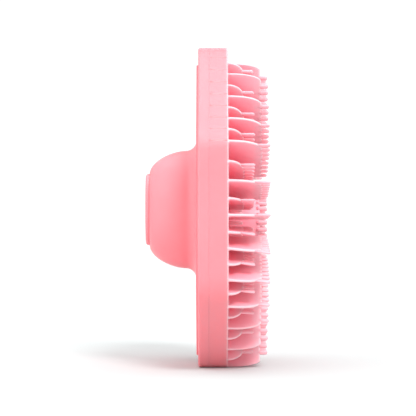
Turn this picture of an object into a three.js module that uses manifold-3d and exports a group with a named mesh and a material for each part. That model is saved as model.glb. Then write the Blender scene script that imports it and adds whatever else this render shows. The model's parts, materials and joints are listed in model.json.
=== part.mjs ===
// Scalp massager brush, standing on its flat lower end. Millimetres.
// +X points from the knob handle towards the comb blades, +Z up, Y across the brush.
import * as THREE from 'three';
import { mergeVertices } from 'three/addons/utils/BufferGeometryUtils.js';
import Module from 'manifold-3d';

// Driving dimensions
const KNOB_MIDDLE = 49.5;       // height of the knob's centre line
const BLADE_CENTRE = 45.5;      // height of the point that all blades aim at
const GAP = 0.3;                // clearance between touching pieces
const OVERLAP = 1;              // how far a joined or cutting body runs past the face it meets
const ON_LINE = 1e-9;           // tolerance of a point on a line
// Half outline of the plate, from the bottom up: [half width, height, corner radius]
const OUTLINE = [
  [10.0, 0, 5],
  [37.0, 24.5, 12],
  [38.0, 45, 40],
  [37.2, 70.2, 8],
  [13.8, 95.5, 3],
  [12.6, 100, 1.5],
];
// Stations along X
const CAP_FACE = -19.1;
const KNOB_END = -17.7;
const PANEL_BACK = -2.87;
const PLATE_BACK = -2.3;
const SEAM = 1.05;
const PAD_FRONT = 6.8;
// Knob: half sizes across Y and Z at its root and at its end
const KNOB_ROOT = [15, 18.7];
const KNOB_TIP = [8.6, 11.9];
const KNOB_FILLET = 3.4;
const KNOB_SQUARENESS = 2.6;    // 2 is an ellipse, more is squarer
const KNOB_BULGE = 1.68;
const KNOB_SIDES = 24;
const POCKET_SIDES = 16;
const POCKET = [6.4, 9.2];      // half sizes of the hollow in the knob
const POCKET_FLOOR = -5.5;
const CAP = [8.2, 11.35];
const CAP_CHAMFER = 0.6;
const CAP_PLUG = 4;
// Raised back panel, stiffener and the recess that holds it
const PANEL_INSET = 3.8;
const PANEL_DROP = 1.4;         // how much further the panel stays below the top of the plate
const RECESS_INSET = 6;
const STIFFENER_BACK = -0.1;
const STIFFENER_FRONT = 2.2;
// Comb blades
const BLADE_THICK = 0.78;
const BLADE_REACH = 0.43;       // share of the way from the rim to the centre that a blade covers
const BRISTLE_PITCH = 2.1;
const BRISTLE_ROOT = 1.3;
const BRISTLE_TIP = 0.9;
const LONG = { webTop: 16.75, tip: 19.25, cornerAcross: 4.3, cornerDown: 9.65, arcSteps: 5 };
const SHORT = { webTop: 11.3, tip: 14.85, cornerAcross: 2.7, cornerDown: 4.2, arcSteps: 3 };
// Stretches of the rim from the top centre down to the bottom centre: where each one ends
// (x is half width, y is height), its number of blade steps, and how much its first steps are
// wider than its last
const FIELD_TOP = OUTLINE[4][1];
const STRETCHES = [
  { axis: 'x', value: OUTLINE[4][0], steps: 2, ease: 0 },
  { axis: 'y', value: 70.15, steps: 7, ease: 0.06 },
  { axis: 'y', value: 47.9, steps: 4, ease: 0.14 },
  { axis: 'y', value: 24.15, steps: 5, ease: 0.07 },
  { axis: 'y', value: 0.03, steps: 7, ease: 0 },
  { axis: 'x', value: 0, steps: 2, ease: 0 },
];
// Centre comb ring: a round wall with bristles along its top edge
const RING_RADIUS = 7.2;        // middle of the wall
const RING_BRISTLES = 20;
const RING_SIDES = 40;
// Pins inside the comb ring, as [radius, number of pins], and outside it, as [share of the way to
// the rim, number of pins]
const INNER_PINS = [[0, 1], [2.1, 5], [4.3, 11]];
const OUTER_PINS = [[0.3, 13], [0.42, 26]];
const PIN_BOSS = 0.48;          // the boss's edge, as a share of the way to the rim
const PIN_BOSS_TOP = 7.5;
const INNER_PIN_TOP = 19;
const OUTER_PIN_TOP = 11.6;
const PIN_RADII = [0.85, 0.55];
const PIN_SIDES = 6;
const PIN_SINK = 0.5;
const PIN_TURN = 0.01;          // keeps pins and boss corners off the rim line's own corners
const BOSS_SIDES = 26;

const wasm = await Module();
wasm.setup();

const silicone = new THREE.MeshStandardMaterial({ color: 0xfaa0ac, roughness: 0.45, metalness: 0 });
const shellPlastic = new THREE.MeshStandardMaterial({ color: 0xfa9aa8, roughness: 0.42, metalness: 0 });
const capPlastic = new THREE.MeshStandardMaterial({ color: 0xfaa4b0, roughness: 0.4, metalness: 0 });
const stiffPlastic = new THREE.MeshStandardMaterial({ color: 0xe8e4e2, roughness: 0.5, metalness: 0 });

const brush = new THREE.Group();

function addPart(name, geometry, material, parent = brush) {
  const mesh = new THREE.Mesh(geometry, material);
  mesh.name = name;
  parent.add(mesh);
  return mesh;
}

// Outlines in the YZ plane

function mirrored(half) {
  const left = half.map(([y, z, r]) => [-y, z, r]).reverse();
  return [...half, ...left];
}

// Moves every edge of a convex, counter-clockwise outline inwards by the same distance
function inset(corners, distance) {
  const lines = corners.map(([y, z], i) => {
    const [y2, z2] = corners[(i + 1) % corners.length];
    const length = Math.hypot(y2 - y, z2 - z);
    const normal = [-(z2 - z) / length, (y2 - y) / length];
    return { normal, offset: normal[0] * y + normal[1] * z + distance };
  });
  return corners.map(([, , radius], i) => {
    const a = lines[(i + lines.length - 1) % lines.length];
    const b = lines[i];
    const det = a.normal[0] * b.normal[1] - a.normal[1] * b.normal[0];
    const y = (a.offset * b.normal[1] - b.offset * a.normal[1]) / det;
    const z = (a.normal[0] * b.offset - b.normal[0] * a.offset) / det;
    return [y, z, Math.max(radius - distance, 1)];
  });
}

// Rounds each corner with an arc of its own radius, in steps of about 15 degrees
function rounded(corners) {
  const points = [];
  corners.forEach(([y, z, radius], i) => {
    const corner = new THREE.Vector2(y, z);
    const before = corners[(i + corners.length - 1) % corners.length];
    const after = corners[(i + 1) % corners.length];
    const back = new THREE.Vector2(before[0], before[1]).sub(corner).normalize();
    const forth = new THREE.Vector2(after[0], after[1]).sub(corner).normalize();
    const half = Math.acos(back.dot(forth)) / 2;
    const turn = Math.PI - 2 * half;
    const middle = back.clone().add(forth).normalize().multiplyScalar(radius / Math.sin(half)).add(corner);
    const start = corner.clone().addScaledVector(back, radius / Math.tan(half)).sub(middle);
    const steps = Math.max(1, Math.ceil(turn / THREE.MathUtils.degToRad(15)));
    for (let k = 0; k <= steps; k += 1) {
      points.push(start.clone().rotateAround(new THREE.Vector2(), (turn * k) / steps).add(middle));
    }
  });
  return points;
}

// A slab with the given outline in YZ, from one station on X to another
function slab(points, from, to) {
  const geometry = new THREE.ExtrudeGeometry(new THREE.Shape(points), {
    depth: to - from, bevelEnabled: false,
  });
  const axes = new THREE.Matrix4().makeBasis(
    new THREE.Vector3(0, 1, 0), new THREE.Vector3(0, 0, 1), new THREE.Vector3(1, 0, 0),
  );
  return geometry.applyMatrix4(axes).translate(from, 0, 0);
}

// A closed loft along X through rounded oblong sections: [x, half width, half height]
function loft(sections, around, squareness) {
  const vertices = [];
  const faces = [];
  for (const [x, halfWidth, halfHeight] of sections) {
    for (let k = 0; k < around; k += 1) {
      const angle = (2 * Math.PI * k) / around;
      const c = Math.cos(angle);
      const s = Math.sin(angle);
      vertices.push(
        x,
        Math.sign(c) * halfWidth * Math.abs(c) ** (2 / squareness),
        Math.sign(s) * halfHeight * Math.abs(s) ** (2 / squareness),
      );
    }
  }
  const last = (sections.length - 1) * around;
  for (let k = 0; k < around; k += 1) {
    const next = (k + 1) % around;
    for (let ring = 0; ring < last; ring += around) {
      faces.push(ring + k, ring + next, ring + around + k);
      faces.push(ring + next, ring + around + next, ring + around + k);
    }
    if (k > 0 && k < around - 1) {
      faces.push(0, k + 1, k, last, last + k, last + k + 1);
    }
  }
  const geometry = new THREE.BufferGeometry();
  geometry.setAttribute('position', new THREE.Float32BufferAttribute(vertices, 3));
  geometry.setIndex(faces);
  geometry.computeVertexNormals();
  return geometry;
}

// Cutting and joining

function toSolid(geometry) {
  const bare = geometry.clone();
  bare.deleteAttribute('normal');
  bare.deleteAttribute('uv');
  const merged = mergeVertices(bare, 1e-4);
  return new wasm.Manifold(new wasm.Mesh({
    numProp: 3,
    vertProperties: new Float32Array(merged.attributes.position.array),
    triVerts: new Uint32Array(merged.index.array),
  }));
}

function toGeometry(solid) {
  const mesh = solid.getMesh();
  const geometry = new THREE.BufferGeometry();
  geometry.setAttribute('position', new THREE.BufferAttribute(mesh.vertProperties, 3));
  geometry.setIndex(new THREE.BufferAttribute(mesh.triVerts, 1));
  geometry.computeVertexNormals();
  return geometry;
}

const plateCorners = mirrored(OUTLINE);
const panelCorners = mirrored(OUTLINE.map(([y, z, r], i) => [y, i === OUTLINE.length - 1 ? z - PANEL_DROP : z, r]));
const recessOutline = rounded(inset(plateCorners, RECESS_INSET));
const stiffenerOutline = rounded(inset(plateCorners, RECESS_INSET + GAP));

// Rear shell with its panel and knob

function knobSections() {
  const root = PANEL_BACK - KNOB_FILLET;
  const sections = [[root + KNOB_FILLET + OVERLAP, KNOB_ROOT[0] + KNOB_FILLET, KNOB_ROOT[1] + KNOB_FILLET]];
  for (const angle of [0, Math.PI / 6, Math.PI / 3]) {
    const flare = KNOB_FILLET * (1 - Math.sin(angle));
    sections.push([PANEL_BACK - KNOB_FILLET * (1 - Math.cos(angle)), KNOB_ROOT[0] + flare, KNOB_ROOT[1] + flare]);
  }
  const steps = 7;
  for (let k = 0; k <= steps; k += 1) {
    const along = Math.sin((Math.PI / 2) * (k / steps));
    const full = (1 - along ** KNOB_BULGE) ** (1 / KNOB_BULGE);
    sections.push([
      root + (KNOB_END - root) * along,
      KNOB_TIP[0] + (KNOB_ROOT[0] - KNOB_TIP[0]) * full,
      KNOB_TIP[1] + (KNOB_ROOT[1] - KNOB_TIP[1]) * full,
    ]);
  }
  return sections.reverse();
}

function handleShell() {
  const plate = toSolid(slab(rounded(plateCorners), PLATE_BACK, SEAM - GAP / 2));
  const panel = toSolid(slab(rounded(inset(panelCorners, PANEL_INSET)), PANEL_BACK, PLATE_BACK + OVERLAP));
  const knob = toSolid(loft(knobSections(), KNOB_SIDES, KNOB_SQUARENESS).translate(0, 0, KNOB_MIDDLE));
  const pocket = toSolid(loft(
    [[KNOB_END - OVERLAP, ...POCKET], [POCKET_FLOOR, ...POCKET]], POCKET_SIDES, KNOB_SQUARENESS,
  ).translate(0, 0, KNOB_MIDDLE));
  const recess = toSolid(slab(recessOutline, STIFFENER_BACK - GAP, SEAM + OVERLAP));
  return toGeometry(plate.add(panel).add(knob).subtract(pocket).subtract(recess));
}

function knobCap() {
  const seat = KNOB_END - GAP;
  const grow = (size, by) => size.map((half) => half + by);
  return loft([
    [CAP_FACE, ...grow(CAP, -CAP_CHAMFER)],
    [CAP_FACE + CAP_CHAMFER, ...CAP],
    [seat, ...CAP],
    [seat, ...grow(POCKET, -GAP)],
    [seat + CAP_PLUG, ...grow(POCKET, -GAP)],
  ], POCKET_SIDES, KNOB_SQUARENESS).translate(0, 0, KNOB_MIDDLE);
}

// Front pad

function brushPad() {
  const pad = toSolid(slab(rounded(plateCorners), SEAM + GAP / 2, PAD_FRONT));
  const recess = toSolid(slab(recessOutline, SEAM - OVERLAP, STIFFENER_FRONT + GAP));
  return toGeometry(pad.subtract(recess));
}

// Comb blades. A blade's profile is drawn with its distance from the centre across and its
// height along X up, so one turn about X puts it in its place.

function bladeProfile(rim, kind) {
  const outer = rim - GAP;
  const inner = rim * (1 - BLADE_REACH);
  const foot = PAD_FRONT + GAP;
  const points = [[inner, foot], [outer, foot]];
  for (let k = 0; k <= kind.arcSteps; k += 1) {
    const angle = (Math.PI / 2) * (k / kind.arcSteps);
    points.push([
      outer - kind.cornerAcross * (1 - Math.cos(angle)),
      kind.webTop - kind.cornerDown * (1 - Math.sin(angle)),
    ]);
  }
  const rowEnd = outer - kind.cornerAcross;
  const bristles = Math.floor((rowEnd - inner - BRISTLE_ROOT) / BRISTLE_PITCH) + 1;
  for (let k = 0; k < bristles; k += 1) {
    const middle = rowEnd - BRISTLE_ROOT / 2 - k * BRISTLE_PITCH;
    if (k > 0) points.push([middle + BRISTLE_ROOT / 2, kind.webTop]);
    points.push([middle + BRISTLE_TIP / 2, kind.tip]);
    points.push([middle - BRISTLE_TIP / 2, kind.tip]);
    points.push([middle - BRISTLE_ROOT / 2, kind.webTop]);
  }
  points.push([inner, kind.webTop]);
  return points.map(([across, up]) => new THREE.Vector2(across, up));
}

function blade(rim, kind) {
  const geometry = new THREE.ExtrudeGeometry(new THREE.Shape(bladeProfile(rim, kind)), {
    depth: BLADE_THICK, bevelEnabled: false,
  });
  const axes = new THREE.Matrix4().makeBasis(
    new THREE.Vector3(0, 1, 0), new THREE.Vector3(1, 0, 0), new THREE.Vector3(0, 0, -1),
  );
  return geometry.applyMatrix4(axes).translate(0, 0, BLADE_THICK / 2);
}

// The rim that the blades end on: the plate's outline without its top tab, as a line from
// the top centre down to the bottom centre on the +Y side
function rimLine() {
  const field = mirrored(OUTLINE.slice(0, -1));
  const side = rounded(field).filter((point) => point.x > 0).reverse();
  return [new THREE.Vector2(0, FIELD_TOP), ...side, new THREE.Vector2(0, 0)];
}

function lengthsAlong(line) {
  const lengths = [0];
  for (let i = 1; i < line.length; i += 1) {
    lengths.push(lengths[i - 1] + line[i].distanceTo(line[i - 1]));
  }
  return lengths;
}

function pointAt(line, lengths, length) {
  let i = 1;
  while (i < line.length - 1 && lengths[i] < length) i += 1;
  const share = (length - lengths[i - 1]) / (lengths[i] - lengths[i - 1]);
  return line[i - 1].clone().lerp(line[i], share);
}

// The length along the line where it first comes to a value of x or y after a given length
function lengthWhere(line, lengths, axis, value, after) {
  for (let i = 1; i < line.length; i += 1) {
    const start = line[i - 1][axis];
    const end = line[i][axis];
    if (lengths[i] > after && start !== end && (start - value) * (end - value) <= 0) {
      return lengths[i - 1] + ((lengths[i] - lengths[i - 1]) * (value - start)) / (end - start);
    }
  }
  return lengths[lengths.length - 1];
}

// Where each blade's outer end stands on the rim, from the top centre to the bottom centre
function bladeFeet(line, lengths) {
  const feet = [line[0]];
  let from = 0;
  for (const { axis, value, steps, ease } of STRETCHES) {
    const to = lengthWhere(line, lengths, axis, value, from);
    for (let k = 1; k <= steps; k += 1) {
      const share = k / steps;
      const eased = share + ease * share * (1 - share);
      feet.push(pointAt(line, lengths, from + (to - from) * eased));
    }
    from = to;
  }
  return feet;
}

// Centre of the brush: a comb ring, pins inside it, and pins on a low boss between it and the
// blades. The boss and the outer rings of pins are the rim's shape made smaller.

function rimRadius(line, angle) {
  const reach = 2 * FIELD_TOP;
  const far = new THREE.Vector2(Math.abs(Math.cos(angle)), Math.sin(angle)).multiplyScalar(reach);
  for (let i = 1; i < line.length; i += 1) {
    const a = line[i - 1].clone().sub(new THREE.Vector2(0, BLADE_CENTRE));
    const b = line[i].clone().sub(new THREE.Vector2(0, BLADE_CENTRE));
    const along = b.clone().sub(a);
    const det = far.cross(along);
    const share = a.cross(along) / det;
    const across = a.cross(far) / det;
    if (share > 0 && across >= -ON_LINE && across <= 1 + ON_LINE) return share * reach;
  }
  throw new Error('the rim is not closed around the centre');
}

function evenTurns(count) {
  return Array.from({ length: count }, (_, k) => (2 * Math.PI * k) / count + PIN_TURN);
}

function around(radius, angle) {
  return new THREE.Vector2(radius * Math.cos(angle), BLADE_CENTRE + radius * Math.sin(angle));
}

function disc(radiusAt, sides, from, to) {
  return toSolid(slab(evenTurns(sides).map((angle) => around(radiusAt(angle), angle)), from, to));
}

function post(place, from, to) {
  const [root, tip] = PIN_RADII;
  const sections = [[from, root, root], [to, tip, tip]];
  return toSolid(loft(sections, PIN_SIDES, 2).translate(0, place.x, place.y));
}

function centreRing() {
  const half = BLADE_THICK / 2;
  const foot = PAD_FRONT + GAP;
  const wall = disc(() => RING_RADIUS + half, RING_SIDES, foot, LONG.webTop);
  const hollow = disc(() => RING_RADIUS - half, RING_SIDES, foot - OVERLAP, LONG.webTop + OVERLAP);
  const posts = evenTurns(RING_BRISTLES).map((angle) => (
    post(around(RING_RADIUS, angle), LONG.webTop - PIN_SINK, LONG.tip)
  ));
  const floor = disc(() => RING_RADIUS, RING_SIDES, foot, PIN_BOSS_TOP);
  const pins = INNER_PINS.flatMap(([radius, count]) => (
    evenTurns(count).map((angle) => post(around(radius, angle), PIN_BOSS_TOP - PIN_SINK, INNER_PIN_TOP))
  ));
  return toGeometry(wasm.Manifold.union([wall.subtract(hollow), floor, ...posts, ...pins]));
}

function centrePins(line) {
  const from = PAD_FRONT + GAP;
  const edge = disc((angle) => PIN_BOSS * rimRadius(line, angle), BOSS_SIDES, from, PIN_BOSS_TOP);
  const outside = RING_RADIUS + BLADE_THICK / 2 + GAP;
  const parts = [edge.subtract(disc(() => outside, RING_SIDES, from - OVERLAP, PIN_BOSS_TOP + OVERLAP))];
  for (const [share, count] of OUTER_PINS) {
    for (const angle of evenTurns(count)) {
      parts.push(post(around(share * rimRadius(line, angle), angle), PIN_BOSS_TOP - PIN_SINK, OUTER_PIN_TOP));
    }
  }
  return toGeometry(wasm.Manifold.union(parts));
}

addPart('handle_shell', handleShell(), shellPlastic);
addPart('knob_cap', knobCap(), capPlastic);
addPart('stiffener_plate', slab(stiffenerOutline, STIFFENER_BACK, STIFFENER_FRONT), stiffPlastic);
addPart('brush_pad', brushPad(), silicone);

const rim = rimLine();
const rimLengths = lengthsAlong(rim);
addPart('centre_comb_ring', centreRing(), silicone);
addPart('centre_pins', centrePins(rim), silicone);

// The ring of blades turns about the point that they all aim at
const bladeRing = new THREE.Group();
bladeRing.position.z = BLADE_CENTRE;
brush.add(bladeRing);

const feet = bladeFeet(rim, rimLengths);
feet.forEach((foot, i) => {
  const kind = i % 2 ? LONG : SHORT;
  const word = i % 2 ? 'long' : 'short';
  const number = String(Math.floor((i + 1) / 2)).padStart(2, '0');
  const rimDistance = Math.hypot(foot.x, foot.y - BLADE_CENTRE);
  const geometry = blade(rimDistance, kind);
  const turn = Math.atan2(foot.y - BLADE_CENTRE, foot.x);
  if (i === 0 || i === feet.length - 1) {
    const place = i === 0 ? 'top' : 'bottom';
    addPart(`${place}_${word}_blade`, geometry, silicone, bladeRing).rotation.x = turn;
    return;
  }
  addPart(`right_${word}_blade_${number}`, geometry, silicone, bladeRing).rotation.x = turn;
  addPart(`left_${word}_blade_${number}`, geometry, silicone, bladeRing).rotation.x = Math.PI - turn;
});

export default brush;
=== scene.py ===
"""Looks of the scalp massager brush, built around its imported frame.

Metres, +X towards the bristles, +Z up.
"""

import json
import math

import bpy
import numpy as np
from mathutils import Matrix, Vector


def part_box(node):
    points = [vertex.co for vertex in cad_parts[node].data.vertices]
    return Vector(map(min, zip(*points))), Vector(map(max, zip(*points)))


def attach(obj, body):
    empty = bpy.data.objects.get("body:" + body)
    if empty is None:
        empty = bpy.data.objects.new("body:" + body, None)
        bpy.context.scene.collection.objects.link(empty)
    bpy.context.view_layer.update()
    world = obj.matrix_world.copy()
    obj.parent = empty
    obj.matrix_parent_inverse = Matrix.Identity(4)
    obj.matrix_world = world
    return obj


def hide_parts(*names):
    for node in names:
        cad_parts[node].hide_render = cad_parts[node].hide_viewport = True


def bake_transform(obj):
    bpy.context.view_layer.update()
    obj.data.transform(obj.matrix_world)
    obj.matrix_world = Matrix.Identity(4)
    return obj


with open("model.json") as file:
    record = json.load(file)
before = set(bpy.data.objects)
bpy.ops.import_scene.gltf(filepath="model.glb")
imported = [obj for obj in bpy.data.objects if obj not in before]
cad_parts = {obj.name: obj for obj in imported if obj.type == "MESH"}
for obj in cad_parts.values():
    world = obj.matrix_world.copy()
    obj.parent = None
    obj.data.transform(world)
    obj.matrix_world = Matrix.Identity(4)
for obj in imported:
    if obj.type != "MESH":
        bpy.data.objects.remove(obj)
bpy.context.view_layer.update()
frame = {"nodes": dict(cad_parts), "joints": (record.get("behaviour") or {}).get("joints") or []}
MM = 0.001

# Places read from the frame
PAD_LOW, PAD_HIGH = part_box("brush_pad")
SHELL_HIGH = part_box("handle_shell")[1]
CAP_LOW, CAP_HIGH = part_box("knob_cap")
PINS_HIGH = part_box("centre_pins")[1]
RING_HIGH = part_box("centre_comb_ring")[1]
FLEXES = frame["joints"]
BLADE_CENTRE = Vector(FLEXES[0]["pos_m"])
SEAM = (PAD_LOW.x + SHELL_HIGH.x) / 2
PAD_FRONT = PAD_HIGH.x
HEIGHT = PAD_HIGH.z
HALF_WIDTH = 38 * MM

# Half outline of the plate, from the bottom up: half width, height, corner radius
OUTLINE = [
    (10.0 * MM, 0, 5 * MM),
    (37.0 * MM, 24.5 * MM, 12 * MM),
    (HALF_WIDTH, 45 * MM, 40 * MM),
    (37.2 * MM, 70.2 * MM, 8 * MM),
    (13.8 * MM, 95.5 * MM, 3 * MM),
    (12.6 * MM, HEIGHT, 1.5 * MM),
]
PLATE_BACK = -2.3 * MM
PANEL_BACK = -2.87 * MM
PANEL_INSET = 3.8 * MM
PANEL_DROP = 1.4 * MM       # how much further the panel stays below the top of the plate
SEAM_ROUND = 0.035 * MM
SEAM_HALF = 0.006 * MM

# Knob
KNOB_MIDDLE = Vector((0, 0, (CAP_LOW.z + CAP_HIGH.z) / 2))
KNOB_END = -17.7 * MM
KNOB_ROOT = (15 * MM, 18.7 * MM)
KNOB_TIP = (8.6 * MM, 11.9 * MM)
KNOB_FILLET = 3.4 * MM
KNOB_BULGE = 1.68
SQUARENESS = 2.6

# Blades
BLADE_THICK_FOOT = 0.98 * MM
BLADE_THICK_TOP = 0.74 * MM
FOOT_FILLET = 0.55 * MM
BLADE_EMBED = 0.35 * MM
BLADE_GAP = 0.3 * MM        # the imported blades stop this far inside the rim
BRISTLE_PITCH = 2.1 * MM
BRISTLE_WIDE = 1.6 * MM
BRISTLE_SUNK = 2.4 * MM     # a bristle starts this far below the top of its web
BRISTLE_TAPER = 0.88        # width near the tip, as a share of the width at the foot
ROW_FALL = 0.012            # share of its length that a bristle loses for each place further in
LAST_SHORTER = 0.06         # and what the innermost one loses besides
EDGE_BAND = 0.5 * MM        # the palest strip of the painted highlight along a web's edge
EDGE_GLOW = 3 * MM          # and the fainter, broader band of that painted highlight
CORNER_SHRINK = 0.6         # share of its breadth that the corner loses on an upright blade
SAG_FROM = 0.05             # only blades whose aim drops by at least this much hang down,
SAG_LEAST_ACROSS = 0.2      # and only those whose aim runs at least this far across
LEAN_CURVE = 1.25           # power of the height by which a hanging blade leans


class Blade:
    """The sizes of one kind of comb blade. Its outer corner is a quarter of an ellipse."""

    def __init__(self, web_top, tip, corner_across, corner_down, first_bristle, lean):
        self.web_top = web_top * MM
        self.tip = tip * MM
        self.corner_across = corner_across * MM
        self.corner_down = corner_down * MM
        self.first_bristle = first_bristle * MM
        self.lean = lean * MM


LONG = Blade(17.1, 19.45, 4.7, 9.95, 1.0, lean=2.1)
SHORT = Blade(11.75, 14.95, 7.0, 4.9, 2.2, lean=1.3)
FIRST_BRISTLE_MORE = 2.9 * MM     # how much further in the row starts on an upright long blade

# Fine ribs on the pad's side wall, each in line with a blade
RIB_SHORTER = 0.6 * MM      # how much shorter a rib is than the wall
RIB_WIDE = 0.4 * MM
RIB_PROUD = 0.012 * MM
RIB_LOWEST_AIM = 0.55       # a blade whose aim rises less than this has no rib
SHORT_BLADE_RIB = 0.6       # how proud a short blade's rib is, as a share of a long blade's

# Centre of the brush
RING_RADIUS = 7.2 * MM
RING_BRISTLES = 20
INNER_PINS = [(0, 1), (2.1 * MM, 5), (4.3 * MM, 11)]
OUTER_PINS = [(0.3, 13), (0.42, 26)]    # share of the way to the rim, number of pins
PIN_WIDE = 1.7 * MM
PIN_TAPER = 0.6
PIN_SINK = 0.6 * MM
RING_PIN_LOWER = 0.2 * MM   # the pins inside the ring stop this far below its packed top
FIRST_TURN = 0.01           # an evenly spaced ring starts this many radians from +Y
BOSS_SHARE = 0.48
BOSS_TOP = PAD_FRONT + 0.25 * MM

CAMERA = Vector((0.75 * MM, -545 * MM, 50 * MM))
LENS = 147.8


# ---------------------------------------------------------------- meshes

def new_piece(name, vertices, faces):
    mesh = bpy.data.meshes.new(name)
    mesh.from_pydata([tuple(v) for v in vertices], [], faces)
    mesh.update()
    piece = bpy.data.objects.new(name, mesh)
    bpy.context.scene.collection.objects.link(piece)
    mesh.polygons.foreach_set("use_smooth", [True] * len(mesh.polygons))
    return piece


def set_values(piece, name, values):
    attribute = piece.data.attributes.new(name, "FLOAT", "POINT")
    attribute.data.foreach_set("value", np.asarray(values, np.float32))


def closed_loft(name, rings, painted_highlight_mask=None):
    """A closed body through rings of equal length. Both ends close on a point.

    The last argument gives each ring's share of the painted highlight, a paler tint.
    """
    count = len(rings[0])
    vertices = np.concatenate([np.asarray(r, float) for r in rings])
    ends = [np.mean(rings[0], axis=0), np.mean(rings[-1], axis=0)]
    vertices = np.vstack([vertices, ends])
    first, last = len(vertices) - 2, len(vertices) - 1
    faces = []
    for k in range(count):
        after = (k + 1) % count
        for ring in range(len(rings) - 1):
            a = ring * count
            faces.append((a + k, a + after, a + count + after, a + count + k))
        base = (len(rings) - 1) * count
        faces.append((first, after, k))
        faces.append((last, base + k, base + after))
    if signed_volume(vertices, faces) < 0:
        faces = [f[::-1] for f in faces]
    piece = new_piece(name, vertices, faces)
    paleness = np.repeat(painted_highlight_mask if painted_highlight_mask is not None else [0] * len(rings), count)
    set_values(piece, "painted_highlight_mask", np.concatenate([paleness, [0, 0]]))
    return piece


def signed_volume(vertices, faces):
    total = 0.0
    for face in faces:
        a = vertices[face[0]]
        for i in range(1, len(face) - 1):
            total += np.dot(a, np.cross(vertices[face[i]], vertices[face[i + 1]]))
    return total / 6


# ---------------------------------------------------------------- outlines

def mirrored(half):
    return half + [(-y, z, r) for y, z, r in reversed(half)]


def inset(corners, distance):
    """Moves each edge of the outline inwards by distance."""
    count = len(corners)
    lines = []
    for i, (y, z, _) in enumerate(corners):
        y2, z2, _ = corners[(i + 1) % count]
        length = math.hypot(y2 - y, z2 - z)
        normal = (-(z2 - z) / length, (y2 - y) / length)
        lines.append((normal, normal[0] * y + normal[1] * z + distance))
    moved = []
    for i, (_, _, radius) in enumerate(corners):
        (a, p), (b, q) = lines[i - 1], lines[i]
        det = a[0] * b[1] - a[1] * b[0]
        y = (p * b[1] - q * a[1]) / det
        z = (a[0] * q - b[0] * p) / det
        moved.append((y, z, max(radius - distance, 0.4 * MM)))
    return moved


def rounded(corners, step=math.radians(4)):
    """The outline with an arc at each corner, as points in Y and Z."""
    points = []
    count = len(corners)
    for i, (y, z, radius) in enumerate(corners):
        corner = Vector((y, z))
        back = (Vector(corners[i - 1][:2]) - corner).normalized()
        forth = (Vector(corners[(i + 1) % count][:2]) - corner).normalized()
        half = back.angle(forth) / 2
        turn = math.pi - 2 * half
        middle = corner + (back + forth).normalized() * (radius / math.sin(half))
        start = corner + back * (radius / math.tan(half)) - middle
        steps = max(1, math.ceil(turn / step))
        for k in range(steps + 1):
            points.append(middle + Matrix.Rotation(turn * k / steps, 2) @ start)
    return np.array([tuple(p) for p in points])


def radius_at(points, centre, angles):
    """How far the outline is from centre, along each angle."""
    away = points - centre
    turns = np.unwrap(np.arctan2(away[:, 1], away[:, 0]))
    if turns[-1] < turns[0]:
        away, turns = away[::-1], turns[::-1]
    away = np.vstack([away, away[0]])
    turns = np.append(turns, turns[0] + 2 * math.pi)
    found = []
    for angle in angles:
        angle = turns[0] + (angle - turns[0]) % (2 * math.pi)
        i = min(np.searchsorted(turns, angle, side="right") - 1, len(turns) - 2)
        a, b = away[i], away[i + 1]
        ray = np.array([math.cos(angle), math.sin(angle)])
        along = b - a
        found.append((a[0] * along[1] - a[1] * along[0]) / (ray[0] * along[1] - ray[1] * along[0]))
    return np.array(found)


CENTRE = np.array([0, KNOB_MIDDLE.z])
PLATE_CORNERS = mirrored(OUTLINE)
TOP_HALF, _, TOP_ROUND = OUTLINE[-1]
PANEL_CORNERS = mirrored(OUTLINE[:-1] + [(TOP_HALF, HEIGHT - PANEL_DROP, TOP_ROUND)])


def ring_angles():
    """One set of angles for every ring: the outline's own corners, and an even spread between them."""
    away = rounded(PLATE_CORNERS) - CENTRE
    own = np.arctan2(away[:, 1], away[:, 0]) % (2 * math.pi)
    even = np.radians(np.arange(1, 360, 2))
    apart = [a for a in even if np.min(np.abs(own - a)) > math.radians(0.7)]
    return np.sort(np.concatenate([own, apart]))


ANGLES = ring_angles()


def ring(radii, x):
    return np.column_stack([
        np.full(len(ANGLES), x),
        CENTRE[0] + radii * np.cos(ANGLES),
        CENTRE[1] + radii * np.sin(ANGLES),
    ])


def plate_ring(distance, x, corners=PLATE_CORNERS):
    return ring(radius_at(rounded(inset(corners, distance)), CENTRE, ANGLES), x)


def oblong_ring(half_width, half_height, x):
    across = np.abs(np.cos(ANGLES) / half_width) ** SQUARENESS
    up = np.abs(np.sin(ANGLES) / half_height) ** SQUARENESS
    return ring((across + up) ** (-1 / SQUARENESS), x)


def quarter(steps):
    """Shares of a quarter round, from its start to its end: (how far across, how far along)."""
    turns = [math.pi / 2 * k / steps for k in range(steps + 1)]
    return [(1 - math.cos(t), math.sin(t)) for t in turns]


# ---------------------------------------------------------------- shell, cap and pad

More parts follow.
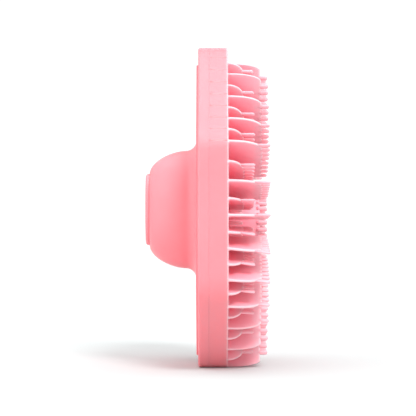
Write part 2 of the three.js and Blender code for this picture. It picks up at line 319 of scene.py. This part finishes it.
def make_shell():
    """The rear shell: side wall, rounded back edge, raised panel, fillet, knob and the cap's seat."""
    face = SEAM - SEAM_HALF
    rings = [plate_ring(2 * MM, face), plate_ring(SEAM_ROUND, face)]
    rings += [plate_ring(0, face - SEAM_ROUND), plate_ring(0, face - 3 * SEAM_ROUND)]
    edge = 0.65 * MM
    rings += [plate_ring(0, PLATE_BACK + 1.3 * edge)]
    rings += [plate_ring(edge * a, PLATE_BACK + edge * (1 - b)) for a, b in quarter(6)]
    rings += [plate_ring(1.3 * edge, PLATE_BACK)]
    step = 0.25 * MM
    foot = PANEL_INSET - step
    panel = [(foot - step, PLATE_BACK)]
    panel += [(foot + step * b, PLATE_BACK - step * a) for a, b in quarter(4)]
    panel += [(PANEL_INSET + step * a, PANEL_BACK + step * (1 - b)) for a, b in quarter(4)]
    panel += [(PANEL_INSET + 2 * step, PANEL_BACK)]
    rings += [plate_ring(distance, x, PANEL_CORNERS) for distance, x in panel]
    rings += [knob_ring(1.5 * KNOB_FILLET, PANEL_BACK)]
    rings += [knob_ring(1.06 * KNOB_FILLET, PANEL_BACK)]
    rings += [
        knob_ring(KNOB_FILLET * (1 - b), PANEL_BACK - KNOB_FILLET * a) for a, b in quarter(8)
    ]
    root = PANEL_BACK - KNOB_FILLET
    steps = 26
    for k in range(1, steps + 1):
        along = math.sin(math.pi / 2 * k / steps)
        full = max(1 - along**KNOB_BULGE, 0) ** (1 / KNOB_BULGE)
        sizes = [t + (r - t) * full for r, t in zip(KNOB_ROOT, KNOB_TIP)]
        rings.append(oblong_ring(*sizes, root + (KNOB_END - root) * along))
    seat = [(CAP_HIGH.y - CAP_LOW.y) / 2, (CAP_HIGH.z - CAP_LOW.z) / 2]
    for grow, sink in ((0.3, 0), (0.16, 0.03), (0.08, 0.12), (0.06, 0.5), (-2, 0.5)):
        rings.append(oblong_ring(seat[0] + grow * MM, seat[1] + grow * MM, KNOB_END + sink * MM))
    return closed_loft("handle_shell_skin", rings)


def knob_ring(flare, x):
    return oblong_ring(KNOB_ROOT[0] + flare, KNOB_ROOT[1] + flare, x)


def make_cap():
    """The pressed-in end cap: a slightly crowned oblong button with a soft edge."""
    half = [(CAP_HIGH.y - CAP_LOW.y) / 2, (CAP_HIGH.z - CAP_LOW.z) / 2]
    face = CAP_LOW.x
    soft = 0.8 * MM
    crown = 0.12 * MM
    rings = [oblong_ring(half[0] * s, half[1] * s, face + crown * s**3) for s in (0.2, 0.5, 0.75)]
    for a, b in reversed(quarter(7)):
        rings.append(oblong_ring(
            half[0] - soft * a, half[1] - soft * a, face + crown + soft * (1 - b)))
    seat = KNOB_END + 0.35 * MM
    rings += [oblong_ring(*half, seat - 0.2 * MM), oblong_ring(*half, seat)]
    rings += [oblong_ring(half[0] - 1.5 * MM, half[1] - 1.5 * MM, seat)]
    return closed_loft("knob_cap_button", rings)


def make_pad():
    """The front silicone pad with a fine rounded lip along its front edge, which carries a painted
    highlight.
    """
    face = SEAM + SEAM_HALF
    lip = 0.2 * MM
    proud = 0.06 * MM
    rings = [plate_ring(2 * MM, face), plate_ring(SEAM_ROUND, face)]
    rings += [plate_ring(0, face + SEAM_ROUND), plate_ring(0, face + 3 * SEAM_ROUND)]
    rings += [plate_ring(0, PAD_FRONT - 1.1 * MM), plate_ring(0, PAD_FRONT - 2 * lip)]
    # Painted highlight: the rounded lip is tinted paler, most along its front.
    paleness = [0, 0, 0, 0, 0, 0.1]
    for a, b in quarter(5):
        rings.append(plate_ring(lip * a, PAD_FRONT + proud - lip * (1 - b)))
        paleness.append(0.8)
    for a, b in reversed(quarter(4)[:-1]):
        rings.append(plate_ring(lip * (2 - a), PAD_FRONT + proud * b))
        paleness.append(0.5 * b)
    rings += [plate_ring(2.5 * lip, PAD_FRONT)]
    rings += [ring(radius_at(rounded(PLATE_CORNERS), CENTRE, ANGLES) * s, PAD_FRONT) for s in (0.8, 0.4)]
    paleness += [0, 0, 0]
    return closed_loft("brush_pad_skin", rings, paleness)


# ---------------------------------------------------------------- geometry trees

class Wire:
    """A number that runs through a geometry tree, so that formulas read as formulas."""

    def __init__(self, tree, socket):
        self.tree = tree
        self.socket = socket

    def apply(self, operation, *others, clamp=False):
        node = self.tree.nodes.new("ShaderNodeMath")
        node.operation = operation
        node.use_clamp = clamp
        for at, value in enumerate((self, *others)):
            if isinstance(value, Wire):
                self.tree.links.new(value.socket, node.inputs[at])
            else:
                node.inputs[at].default_value = value
        return Wire(self.tree, node.outputs[0])

    def __add__(self, other):
        return self.apply("ADD", other)

    __radd__ = __add__

    def __sub__(self, other):
        return self.apply("SUBTRACT", other)

    def __rsub__(self, other):
        return (self * -1) + other

    def __mul__(self, other):
        return self.apply("MULTIPLY", other)

    __rmul__ = __mul__

    def __truediv__(self, other):
        return self.apply("DIVIDE", other)

    def __pow__(self, other):
        return self.apply("POWER", other)

    def clamped(self):
        return self.apply("ADD", 0.0, clamp=True)


class GeometryTree:
    """A geometry node group with named inputs, and short calls for the nodes that the pieces use."""

    def __init__(self, name, numbers, takes_points=False):
        self.tree = bpy.data.node_groups.new(name, "GeometryNodeTree")
        face = self.tree.interface
        if takes_points:
            face.new_socket("Geometry", in_out="INPUT", socket_type="NodeSocketGeometry")
        for label, kind in numbers.items():
            face.new_socket(label, in_out="INPUT", socket_type=f"NodeSocket{kind}")
        face.new_socket("Material", in_out="INPUT", socket_type="NodeSocketMaterial")
        face.new_socket("Geometry", in_out="OUTPUT", socket_type="NodeSocketGeometry")
        self.given = self.tree.nodes.new("NodeGroupInput")
        self.put = self.tree.nodes.new("NodeGroupOutput")

    def value(self, label):
        return Wire(self.tree, self.given.outputs[label])

    def node(self, kind, links=None, **settings):
        node = self.tree.nodes.new(kind)
        for key, value in settings.items():
            setattr(node, key, value)
        for key, value in (links or {}).items():
            if isinstance(value, Wire):
                self.tree.links.new(value.socket, node.inputs[key])
            elif isinstance(value, bpy.types.NodeSocket):
                self.tree.links.new(value, node.inputs[key])
            else:
                node.inputs[key].default_value = value
        return node

    def position(self):
        parts = self.node("ShaderNodeSeparateXYZ", {0: self.node("GeometryNodeInputPosition").outputs[0]})
        return [Wire(self.tree, parts.outputs[i]) for i in range(3)]

    def vector(self, x, y, z):
        return self.node("ShaderNodeCombineXYZ", {"X": x, "Y": y, "Z": z}).outputs[0]

    def place(self, geometry, x, y, z):
        return self.node("GeometryNodeSetPosition", {
            "Geometry": geometry, "Position": self.vector(x, y, z)}).outputs[0]

    def store(self, geometry, name, value):
        return self.node("GeometryNodeStoreNamedAttribute", {
            "Geometry": geometry, "Name": name, "Value": value},
            data_type="FLOAT", domain="POINT").outputs[0]

    def join(self, *geometries):
        node = self.tree.nodes.new("GeometryNodeJoinGeometry")
        for geometry in reversed(geometries):
            self.tree.links.new(geometry, node.inputs[0])
        return node.outputs[0]

    def merge(self, geometry, distance):
        return self.node("GeometryNodeMergeByDistance", {
            "Geometry": geometry, "Distance": distance}).outputs[0]

    def finish(self, geometry):
        real = self.node("GeometryNodeRealizeInstances", {"Geometry": geometry}).outputs[0]
        smooth = self.node("GeometryNodeSetShadeSmooth", {"Geometry": real}).outputs[0]
        painted = self.node("GeometryNodeSetMaterial", {
            "Geometry": smooth, "Material": self.given.outputs["Material"]}).outputs[0]
        self.tree.links.new(painted, self.put.inputs[0])
        return self.tree


def peg(build, wide, thick, length, taper, root=1.0):
    """One soft bristle along +X: an oval post that narrows upwards and ends in a blunt round tip.

    root is its thickness at the very bottom, so that it can rise out of a face as a ridge.
    """
    post = build.node("GeometryNodeMeshCylinder", {
        "Vertices": 8, "Side Segments": 7, "Radius": 1.0, "Depth": 1.0}, fill_type="NGON")
    x, y, z = build.position()
    up = 1 - (0.5 - z) ** 1.8
    tip_start = 0.88
    tip = ((up - tip_start) / (1 - tip_start)).clamped()
    narrow = (1 - (1 - taper) * up) * (1 - tip * tip * 0.999).apply("SQRT")
    risen = root + (1 - root) * (up / 0.4).clamped()
    # Painted highlight: a bristle or pin is tinted paler the higher it rises, most at its tip.
    painted = build.store(post.outputs["Mesh"], "painted_highlight_mask", 0.25 + 0.5 * up)
    shaped = build.place(painted, up * length, x * narrow * wide * 0.5, y * narrow * risen * thick * 0.5)
    return build.merge(shaped, 0.01 * MM)


def blade_tree():
    """A comb blade: distance from the ring's centre along +Y, height along +X, thickness along Z.

    A grid is laid over the web's face, pillowed so that its edge is round, doubled for the other
    face, and given a row of bristles along its top.
    """
    build = GeometryTree("comb_blade", {
        "Inner": "Float", "Outer": "Float", "Foot": "Float", "Web Top": "Float", "Tip": "Float",
        "Corner Across": "Float", "Corner Down": "Float", "First Bristle": "Float",
        "Thick Foot": "Float", "Thick Top": "Float", "Fillet": "Float", "Bristles": "Int",
        "Pitch": "Float", "Bristle Wide": "Float", "Lean": "Float", "Seed": "Int",
    })
    inner, outer, foot = (build.value(k) for k in ("Inner", "Outer", "Foot"))
    top, across, down = (build.value(k) for k in ("Web Top", "Corner Across", "Corner Down"))
    grid = build.node("GeometryNodeMeshGrid", {
        "Size X": 1.0, "Size Y": 1.0, "Vertices X": 40, "Vertices Y": 24}).outputs["Mesh"]
    x, y, _ = build.position()
    u, v = x + 0.5, y + 0.5
    straight = 0.5
    corner_start = outer - across
    turn = ((u - straight) / (1 - straight)).clamped() * (math.pi / 2)
    run = (u / straight).clamped() ** 1.4
    reach = inner + (corner_start - inner) * run + across * turn.apply("SINE")
    column_top = top - down * (1 - turn.apply("COSINE"))
    share = 0.5 - 0.5 * (v * math.pi).apply("COSINE")
    height = foot + (column_top - foot) * share
    past = ((reach - corner_start) / across).clamped()
    above = ((height - (top - down)) / down).clamped()
    near, high = past * past, above * above + 0.001
    spread = ((across * across * near + down * down * high) / (near + high)).apply("SQRT")
    from_rim = (1 - (near + high).apply("SQRT")).clamped() * spread
    from_edge = from_rim.apply("MINIMUM", reach - inner)
    half = (build.value("Thick Foot") * (1 - share) + build.value("Thick Top") * share) * 0.5
    short = (1 - from_edge / half).clamped()
    pillow = (1 - short * short).apply("SQRT")
    fillet = build.value("Fillet")
    low = (1 - (height - foot - BLADE_EMBED) / fillet).clamped()
    flare = fillet * (1 - (1 - low * low).apply("SQRT"))
    risen = ((height - foot) / (top - foot)).clamped()
    # Painted highlight: the web is tinted paler in a strip along its edge, in a broader, fainter band, and
    # more the higher up the web it reaches.
    pale = 0.7 * (1 - from_edge / EDGE_BAND).clamped() + 0.25 * (1 - from_edge / EDGE_GLOW).clamped()
    pale = pale + 0.45 * risen ** 1.3
    front = build.place(build.store(grid, "painted_highlight_mask", pale), height, reach, (half + flare) * pillow)
    hx, hy, hz = build.position()
    back = build.place(front, hx, hy, hz * -1)
    back = build.node("GeometryNodeFlipFaces", {"Mesh": back}).outputs[0]
    web = build.merge(build.join(front, back), 0.004 * MM)

    wide = build.value("Bristle Wide")
    count = build.value("Bristles")
    start = build.vector(
        top - BRISTLE_SUNK, outer - build.value("First Bristle") - wide * 0.5, 0.0)
    row = build.node("GeometryNodeMeshLine", {
        "Count": count, "Start Location": start,
        "Offset": build.vector(0.0, build.value("Pitch") * -1, 0.0)}).outputs["Mesh"]
    bristle = peg(
        build, wide, build.value("Thick Top") * 1.25, build.value("Tip") - top + BRISTLE_SUNK,
        BRISTLE_TAPER, root=0.5)
    lean = build.node("FunctionNodeRandomValue", {
        "Min": (-0.01, -0.02, -0.02), "Max": (0.01, 0.02, 0.02), "Seed": build.value("Seed")},
        data_type="FLOAT_VECTOR").outputs[0]
    index = Wire(build.tree, build.node("GeometryNodeInputIndex").outputs[0])
    last = index.apply("COMPARE", count - 1, 0.1)
    size = build.vector(1 - ROW_FALL * index - LAST_SHORTER * last, 1.0, 1.0)
    bristles = build.node("GeometryNodeInstanceOnPoints", {
        "Points": row, "Instance": bristle, "Rotation": lean, "Scale": size}).outputs[0]
    bristles = build.node("GeometryNodeRealizeInstances", {"Geometry": bristles}).outputs[0]
    whole = build.join(web, bristles)
    wx, wy, wz = build.position()
    risen = ((wx - foot) / (build.value("Tip") - foot)).clamped()
    outwards = ((wy - inner) / (outer - inner)).clamped()
    leant = wz + build.value("Lean") * outwards * risen ** LEAN_CURVE
    return build.finish(build.place(whole, wx, wy, leant))


def peg_field_tree():
    """A post on each point of a mesh."""
    build = GeometryTree(
        "pin_field", {"Width": "Float", "Length": "Float", "Taper": "Float"}, takes_points=True)
    width = build.value("Width")
    post = peg(build, width, width, build.value("Length"), build.value("Taper"))
    return build.finish(build.node("GeometryNodeInstanceOnPoints", {
        "Points": build.given.outputs["Geometry"], "Instance": post}).outputs[0])


def rib_tree():
    """A fine rib along +X on each point, turned to the wall's own direction and sized by its weight."""
    build = GeometryTree(
        "wall_ribs", {"Length": "Float", "Width": "Float", "Proud": "Float"}, takes_points=True)
    rod = build.node("GeometryNodeMeshCylinder", {
        "Vertices": 8, "Side Segments": 4, "Radius": 1.0, "Depth": 1.0}, fill_type="NGON")
    x, y, z = build.position()
    ends = 1 - (z * 2).apply("ABSOLUTE") ** 4.0 * 0.98
    bar = build.place(
        rod.outputs["Mesh"], z * build.value("Length"),
        x * build.value("Proud") * ends, y * build.value("Width") * 0.5)
    # Painted highlight: each rib is tinted paler than the wall it stands on.
    bar = build.store(bar, "painted_highlight_mask", 0.5)
    turn, weight = (
        build.node("GeometryNodeInputNamedAttribute", {"Name": name}, data_type="FLOAT").outputs[0]
        for name in ("turn", "weight"))
    spin = build.node("ShaderNodeCombineXYZ", {"X": turn}).outputs[0]
    size = build.node("ShaderNodeCombineXYZ", {"X": 1.0, "Y": weight, "Z": 1.0}).outputs[0]
    return build.finish(build.node("GeometryNodeInstanceOnPoints", {
        "Points": build.given.outputs["Geometry"], "Instance": bar,
        "Rotation": spin, "Scale": size}).outputs[0])


def grown(name, tree, material, values, start=None):
    """Runs a geometry tree and keeps the result as a plain mesh object."""
    holder = start or new_piece(name + "_start", [(0, 0, 0)], [])
    modifier = holder.modifiers.new("grow", "NODES")
    modifier.node_group = tree
    for item in tree.interface.items_tree:
        if item.in_out != "INPUT" or item.socket_type == "NodeSocketGeometry":
            continue
        modifier[item.identifier] = material if item.name == "Material" else values[item.name]
    bpy.context.view_layer.update()
    ready = holder.evaluated_get(bpy.context.evaluated_depsgraph_get())
    mesh = bpy.data.meshes.new_from_object(ready)
    bpy.data.objects.remove(holder)
    piece = bpy.data.objects.new(name, mesh)
    mesh.name = name
    bpy.context.scene.collection.objects.link(piece)
    return piece


def joined(name, *pieces):
    """Several plain meshes made one piece."""
    bpy.ops.object.select_all(action="DESELECT")
    for piece in pieces:
        piece.select_set(True)
    bpy.context.view_layer.objects.active = pieces[0]
    bpy.ops.object.join()
    pieces[0].name = name
    pieces[0].data.name = name
    return pieces[0]


# ---------------------------------------------------------------- shader groups

class ShaderGroup:
    """A shader node group with named inputs and outputs."""

    def __init__(self, name, inputs, outputs):
        self.tree = bpy.data.node_groups.new(name, "ShaderNodeTree")
        for way, sockets in (("INPUT", inputs), ("OUTPUT", outputs)):
            for label, kind in sockets.items():
                self.tree.interface.new_socket(label, in_out=way, socket_type=f"NodeSocket{kind}")
        self.given = self.tree.nodes.new("NodeGroupInput").outputs
        self.put = self.tree.nodes.new("NodeGroupOutput").inputs

    def node(self, kind, links=None, **settings):
        return add_node(self.tree, kind, links, **settings)


def add_node(tree, kind, links=None, **settings):
    node = tree.nodes.new(kind)
    for key, value in settings.items():
        setattr(node, key, value)
    for key, value in (links or {}).items():
        if isinstance(value, bpy.types.NodeSocket):
            tree.links.new(value, node.inputs[key])
        else:
            node.inputs[key].default_value = value
    return node


def mix(group, share, a, b):
    node = group.node("ShaderNodeMix", {0: share}, data_type="RGBA")
    for key, value in ((6, a), (7, b)):
        if isinstance(value, bpy.types.NodeSocket):
            group.tree.links.new(value, node.inputs[key])
        else:
            node.inputs[key].default_value = value
    return node.outputs[2]


def silicone_colour_group():
    """Body colour with a slow cloudy drift, and a painted highlight: a paler tint wherever the highlight
    mask attribute asks for it.
    """
    group = ShaderGroup(
        "silicone_colour",
        {"Body": "Color", "Deep": "Color", "Highlight Tint": "Color", "Cloud": "Float", "Highlight Strength": "Float"},
        {"Colour": "Color"})
    place = group.node("ShaderNodeTexCoord").outputs["Object"]
    cloud = group.node("ShaderNodeTexNoise", {"Vector": place, "Scale": 55.0, "Detail": 3.0})
    swing = group.node("ShaderNodeMapRange", {
        "Value": cloud.outputs["Fac"], "From Min": 0.35, "From Max": 0.65})
    amount = group.node("ShaderNodeMath", {
        0: swing.outputs[0], 1: group.given["Cloud"]}, operation="MULTIPLY")
    body = mix(group, amount.outputs[0], group.given["Body"], group.given["Deep"])
    painted_highlight_mask = group.node("ShaderNodeAttribute", attribute_name="painted_highlight_mask").outputs["Fac"]
    painted_highlight = group.node("ShaderNodeMath", {
        0: painted_highlight_mask, 1: group.given["Highlight Strength"]}, operation="MULTIPLY", use_clamp=True)
    group.tree.links.new(mix(group, painted_highlight.outputs[0], body, group.given["Highlight Tint"]), group.put["Colour"])
    return group.tree


def satin_group():
    """Moulded satin skin: uneven sheen and a fine grain for the bump."""
    group = ShaderGroup(
        "satin_skin",
        {"Base Roughness": "Float", "Unevenness": "Float", "Grain Scale": "Float"},
        {"Roughness": "Float", "Grain": "Float"})
    place = group.node("ShaderNodeTexCoord").outputs["Object"]
    patch = group.node("ShaderNodeTexNoise", {"Vector": place, "Scale": 120.0, "Detail": 4.0})
    centred = group.node("ShaderNodeMath", {0: patch.outputs["Fac"], 1: 0.5}, operation="SUBTRACT")
    uneven = group.node("ShaderNodeMath", {
        0: centred.outputs[0], 1: group.given["Unevenness"], 2: group.given["Base Roughness"]},
        operation="MULTIPLY_ADD", use_clamp=True)
    group.tree.links.new(uneven.outputs[0], group.put["Roughness"])
    grain = group.node("ShaderNodeTexNoise", {
        "Vector": place, "Scale": group.given["Grain Scale"], "Detail": 2.0})
    speck = group.node("ShaderNodeTexVoronoi", {"Vector": place, "Scale": group.given["Grain Scale"]})
    both = group.node("ShaderNodeMath", {
        0: speck.outputs["Distance"], 1: 0.4, 2: grain.outputs["Fac"]}, operation="MULTIPLY_ADD")
    group.tree.links.new(both.outputs[0], group.put["Grain"])
    return group.tree


SILICONE_COLOUR = silicone_colour_group()
SATIN = satin_group()


def moulded(name, body, deep, painted_highlight, roughness=0.42, cloud=0.35, highlight_strength=0.8, glow=0.25, grain=2600.0,
            bump=0.05):
    """A moulded material built from the shared groups around one Principled shader."""
    material = bpy.data.materials.new(name)
    material.use_nodes = True
    tree = material.node_tree
    tree.nodes.clear()
    colour = add_node(tree, "ShaderNodeGroup", node_tree=SILICONE_COLOUR)
    skin = add_node(tree, "ShaderNodeGroup", node_tree=SATIN)
    for label, value in (("Body", body), ("Deep", deep), ("Highlight Tint", painted_highlight)):
        colour.inputs[label].default_value = (*value, 1)
    colour.inputs["Cloud"].default_value = cloud
    # How strongly the painted highlight tints the colour
    colour.inputs["Highlight Strength"].default_value = highlight_strength
    skin.inputs["Base Roughness"].default_value = roughness
    skin.inputs["Unevenness"].default_value = 0.12
    skin.inputs["Grain Scale"].default_value = grain
    relief = add_node(tree, "ShaderNodeBump", {
        "Height": skin.outputs["Grain"], "Strength": bump, "Distance": 0.05 * MM})
    surface = add_node(tree, "ShaderNodeBsdfPrincipled", {
        "Base Color": colour.outputs["Colour"], "Roughness": skin.outputs["Roughness"],
        "Normal": relief.outputs["Normal"], "IOR": 1.41,
        "Subsurface Weight": glow, "Subsurface Radius": (1.0, 0.32, 0.3), "Subsurface Scale": 1.6 * MM})
    out = add_node(tree, "ShaderNodeOutputMaterial")
    tree.links.new(surface.outputs["BSDF"], out.inputs["Surface"])
    return material


PINK = (0.95, 0.275, 0.313)
PINK_DEEP = (0.94, 0.235, 0.273)
# Paler pink of the painted highlight on edges, crowns, bristles and upper webs
PINK_PAINTED_HIGHLIGHT = (0.97, 0.62, 0.66)

shell_skin = moulded("shell_satin_pink", PINK, PINK_DEEP, PINK_PAINTED_HIGHLIGHT, roughness=0.45)
cap_skin = moulded("cap_satin_pink", (0.95, 0.29, 0.33), PINK_DEEP, PINK_PAINTED_HIGHLIGHT, roughness=0.4, grain=2200.0)
pad_skin = moulded("pad_silicone_pink", PINK, PINK_DEEP, PINK_PAINTED_HIGHLIGHT, roughness=0.42, glow=0.35)
blade_skin = moulded(
    "blade_silicone_pink", (0.99, 0.33, 0.41), (0.985, 0.27, 0.345), PINK_PAINTED_HIGHLIGHT,
    roughness=0.36, glow=0.25, cloud=0.25)
stiffener_skin = moulded(
    "stiffener_moulded_white", (0.74, 0.71, 0.68), (0.68, 0.65, 0.62), (0.8, 0.78, 0.76),
    roughness=0.5, glow=0.0)


# ---------------------------------------------------------------- pieces

def finish_body_piece(piece, material, slot, *nodes):
    piece.data.materials.clear()
    piece.data.materials.append(material)
    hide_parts(*nodes)
    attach(piece, "brush_body")


shell = make_shell()
finish_body_piece(shell, shell_skin, "shell", "handle_shell")
cap = make_cap()
finish_body_piece(cap, cap_skin, "cap", "knob_cap")

BLADE_TREE = blade_tree()
PEG_FIELD = peg_field_tree()
RIBS = rib_tree()


def blade_facts(joint):
    """Where a blade lies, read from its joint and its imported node: its aim, inner and outer end."""
    aim = Vector(joint["axis"])
    node = frame["nodes"][joint["child"]]
    distances = [(v.co - BLADE_CENTRE).dot(aim) for v in node.data.vertices]
    return aim, min(distances), max(distances) + BLADE_GAP


def sag(aim):
    """How far a blade's outer end hangs down, as a share of its lean: only those below the middle do.

    The sign turns it downwards on both sides of the brush.
    """
    lowness = -aim.z
    if lowness < SAG_FROM or abs(aim.y) < SAG_LEAST_ACROSS:
        return 0
    return -math.copysign(1 - lowness**5, aim.y)


def make_blade(joint, seed):
    aim, inner, outer = blade_facts(joint)
    kind = LONG if "long" in joint["child"] else SHORT
    first = kind.first_bristle + (FIRST_BRISTLE_MORE * aim.z**2 if kind is LONG else 0)
    row = outer - first - BRISTLE_WIDE - inner
    steps = max(round(row / BRISTLE_PITCH), 1)
    corner_across = kind.corner_across * (1 - CORNER_SHRINK * abs(aim.z) ** 3)
    blade = grown(joint["child"] + "_comb", BLADE_TREE, blade_skin, {
        "Inner": inner, "Outer": outer, "Foot": PAD_FRONT - BLADE_EMBED,
        "Web Top": kind.web_top, "Tip": kind.tip, "First Bristle": first,
        "Corner Across": corner_across, "Corner Down": kind.corner_down,
        "Thick Foot": BLADE_THICK_FOOT, "Thick Top": BLADE_THICK_TOP, "Fillet": FOOT_FILLET,
        "Bristles": steps + 1, "Pitch": row / steps,
        "Bristle Wide": BRISTLE_WIDE, "Lean": sag(aim) * kind.lean, "Seed": seed})
    turn = math.atan2(aim.z, aim.y)
    blade.data.transform(Matrix.Translation((0, 0, BLADE_CENTRE.z)) @ Matrix.Rotation(turn, 4, "X"))
    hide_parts(joint["child"])
    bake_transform(blade)


for number, joint in enumerate(FLEXES):
    make_blade(joint, number)

FIELD_CENTRE = np.array([0, BLADE_CENTRE.z])
FIELD_LINE = rounded(mirrored(OUTLINE[:-1]))    # the rim that the blades end on, without the top tab


def wall_ribs():
    """The fine ribs on the pad's side wall, in line with the upper blades but not with the top one."""
    places, turns, weights = [], [], []
    outline = rounded(PLATE_CORNERS)
    nudge = 0.01
    for joint in FLEXES:
        aim = Vector(joint["axis"])
        if "top" in joint["child"] or aim.z < RIB_LOWEST_AIM:
            continue
        angle = math.atan2(aim.z, aim.y)
        turned = np.array([angle - nudge, angle, angle + nudge])
        reach = radius_at(outline, FIELD_CENTRE, turned)
        before, at, after = np.column_stack([reach * np.cos(turned), reach * np.sin(turned)])
        along = after - before
        places.append(((SEAM + PAD_FRONT) / 2, at[0], at[1] + BLADE_CENTRE.z))
        turns.append(math.atan2(along[1], along[0]) - math.pi / 2)
        weights.append(1.0 if "long" in joint["child"] else SHORT_BLADE_RIB)
    start = new_piece("rib_places", places, [])
    set_values(start, "turn", turns)
    set_values(start, "weight", weights)
    return grown("wall_ribs", RIBS, pad_skin, {
        "Length": PAD_FRONT - SEAM - RIB_SHORTER, "Width": RIB_WIDE, "Proud": RIB_PROUD}, start)


def even_turns(count):
    return [2 * math.pi * k / count + FIRST_TURN for k in range(count)]


def about_centre(radii, angles, x):
    return [(x, r * math.cos(a), BLADE_CENTRE.z + r * math.sin(a)) for r, a in zip(radii, angles)]


def round_ring(radius, x, count=72):
    return about_centre([radius] * count, even_turns(count), x)


def pegs(name, places, width, tip, taper):
    """Soft posts from their places up to the height of tip."""
    start = new_piece(name + "_places", places, [])
    return grown(name, PEG_FIELD, blade_skin, {
        "Width": width, "Length": tip - places[0][0], "Taper": taper}, start)


def make_comb_ring():
    """The round comb in the middle, with bristles along its top and pins inside it."""
    half = BLADE_THICK_TOP / 2
    foot, floor = PAD_FRONT - BLADE_EMBED, PAD_FRONT + 0.3 * MM
    top = LONG.web_top
    profile = [(half + 0.9 * MM, foot), (half + 0.8 * MM, PAD_FRONT)]
    profile += [(half + 0.35 * MM, PAD_FRONT + 0.2 * MM), (half + 0.15 * MM, PAD_FRONT + 0.8 * MM)]
    profile += [(half + 0.1 * MM, (foot + top) / 2), (half, top - half)]
    crown = [(half * math.cos(t), top - half * (1 - math.sin(t))) for t in np.linspace(0, math.pi, 9)]
    profile += crown[1:] + [(-half - 0.1 * MM, floor + 1 * MM), (-half - 0.4 * MM, floor)]
    rings = [round_ring(RING_RADIUS + out, x) for out, x in profile]
    rings += [round_ring(RING_RADIUS * share, floor) for share in (0.6, 0.2)]
    # Painted highlight: the crown of the ring is tinted paler than its sides.
    paleness = [0] * 5 + [0.3] + [0.8] * 8 + [0] * 4
    wall = closed_loft("comb_ring_wall", rings, paleness)
    wall.data.materials.append(blade_skin)
    crown_places = about_centre([RING_RADIUS] * RING_BRISTLES, even_turns(RING_BRISTLES), top - MM)
    bristles = pegs("ring_bristles", crown_places, BRISTLE_WIDE, LONG.tip, BRISTLE_TAPER)
    inner_places = [
        place for radius, count in INNER_PINS
        for place in about_centre([radius] * count, even_turns(count), floor - PIN_SINK)
    ]
    inner = pegs("ring_pins", inner_places, PIN_WIDE, RING_HIGH.x - RING_PIN_LOWER, PIN_TAPER)
    piece = joined("centre_comb_ring_soft", wall, bristles, inner)
    finish_body_piece(piece, blade_skin, "bristle_silicone", "centre_comb_ring")


def make_centre_pins():
    """The low boss round the comb ring, with its two rings of soft pins."""
    def scaled(share, angles, x):
        return about_centre(radius_at(FIELD_LINE, FIELD_CENTRE, angles) * share, angles, x)

    places = [
        place for share, count in OUTER_PINS
        for place in scaled(share, even_turns(count), BOSS_TOP - PIN_SINK)
    ]
    pins = pegs("pins", places, PIN_WIDE, PINS_HIGH.x, PIN_TAPER)
    around = np.radians(np.arange(0, 360, 4))
    rings = [scaled(BOSS_SHARE, around, PAD_FRONT - 0.2 * MM)]
    rings += [scaled(BOSS_SHARE - 0.02 * (1 - b), around, PAD_FRONT + (BOSS_TOP - PAD_FRONT) * (1 - a))
              for a, b in reversed(quarter(5))]
    rings += [scaled(share, around, BOSS_TOP) for share in (0.44, 0.3)]
    boss = closed_loft("centre_boss", rings)
    boss.data.materials.append(blade_skin)
    piece = joined("centre_pins_soft", boss, pins)
    finish_body_piece(piece, blade_skin, "bristle_silicone", "centre_pins")


pad = make_pad()
pad.data.materials.append(pad_skin)
pad = joined("brush_pad_skin", pad, wall_ribs())
finish_body_piece(pad, pad_skin, "pad", "brush_pad")
make_comb_ring()
make_centre_pins()

stiffener = frame["nodes"]["stiffener_plate"]
stiffener.data.materials.clear()
stiffener.data.materials.append(stiffener_skin)


# ---------------------------------------------------------------- stage, light and camera

def plain_material(name, colour, roughness):
    material = bpy.data.materials.new(name)
    material.use_nodes = True
    surface = material.node_tree.nodes["Principled BSDF"]
    surface.inputs["Base Color"].default_value = (*colour, 1)
    surface.inputs["Roughness"].default_value = roughness
    surface.inputs["Specular IOR Level"].default_value = 0.1
    return material


floor = new_piece("floor", [(-1, -0.7, 0), (1, -0.7, 0), (1, 1.4, 0), (-1, 1.4, 0)], [(0, 1, 2, 3)])
floor.data.materials.append(plain_material("pale_floor", (0.565, 0.59, 0.59), 0.95))


def sun_light(name, towards, strength, softness):
    lamp = bpy.data.lights.new(name, "SUN")
    lamp.energy = strength
    lamp.angle = softness
    light = bpy.data.objects.new(name, lamp)
    bpy.context.scene.collection.objects.link(light)
    light.rotation_euler = Vector(towards).to_track_quat("Z", "Y").to_euler()


sun_light("key_light", (0.4, -0.83, 1.0), 1.95, math.radians(18))
sun_light("overhead_light", (0, 0, 1), 1.9, math.radians(75))
sun_light("left_fill", (-1, -0.5, 0.08), 1.5, math.radians(60))


def studio_world():
    """White behind the brush, and a softer even light from all round on it."""
    world = bpy.data.worlds.new("studio")
    world.use_nodes = True
    tree = world.node_tree
    tree.nodes.clear()
    seen = add_node(tree, "ShaderNodeLightPath").outputs["Is Camera Ray"]
    fill = add_node(tree, "ShaderNodeBackground", {"Color": (1, 1, 1, 1), "Strength": 0.75})
    backdrop = add_node(tree, "ShaderNodeBackground", {"Color": (1, 1, 1, 1), "Strength": 1.1})
    both = add_node(tree, "ShaderNodeMixShader", {0: seen, 1: fill.outputs[0], 2: backdrop.outputs[0]})
    out = add_node(tree, "ShaderNodeOutputWorld")
    tree.links.new(both.outputs[0], out.inputs["Surface"])
    bpy.context.scene.world = world


studio_world()

camera_data = bpy.data.cameras.new("camera")
camera_data.lens = LENS
camera_data.sensor_width = 36
camera_data.clip_start = 0.01
camera = bpy.data.objects.new("camera", camera_data)
bpy.context.scene.collection.objects.link(camera)
camera.location = CAMERA
camera.rotation_euler = (math.pi / 2, 0, 0)
bpy.context.scene.camera = camera
bpy.context.scene.view_settings.view_transform = "Standard"
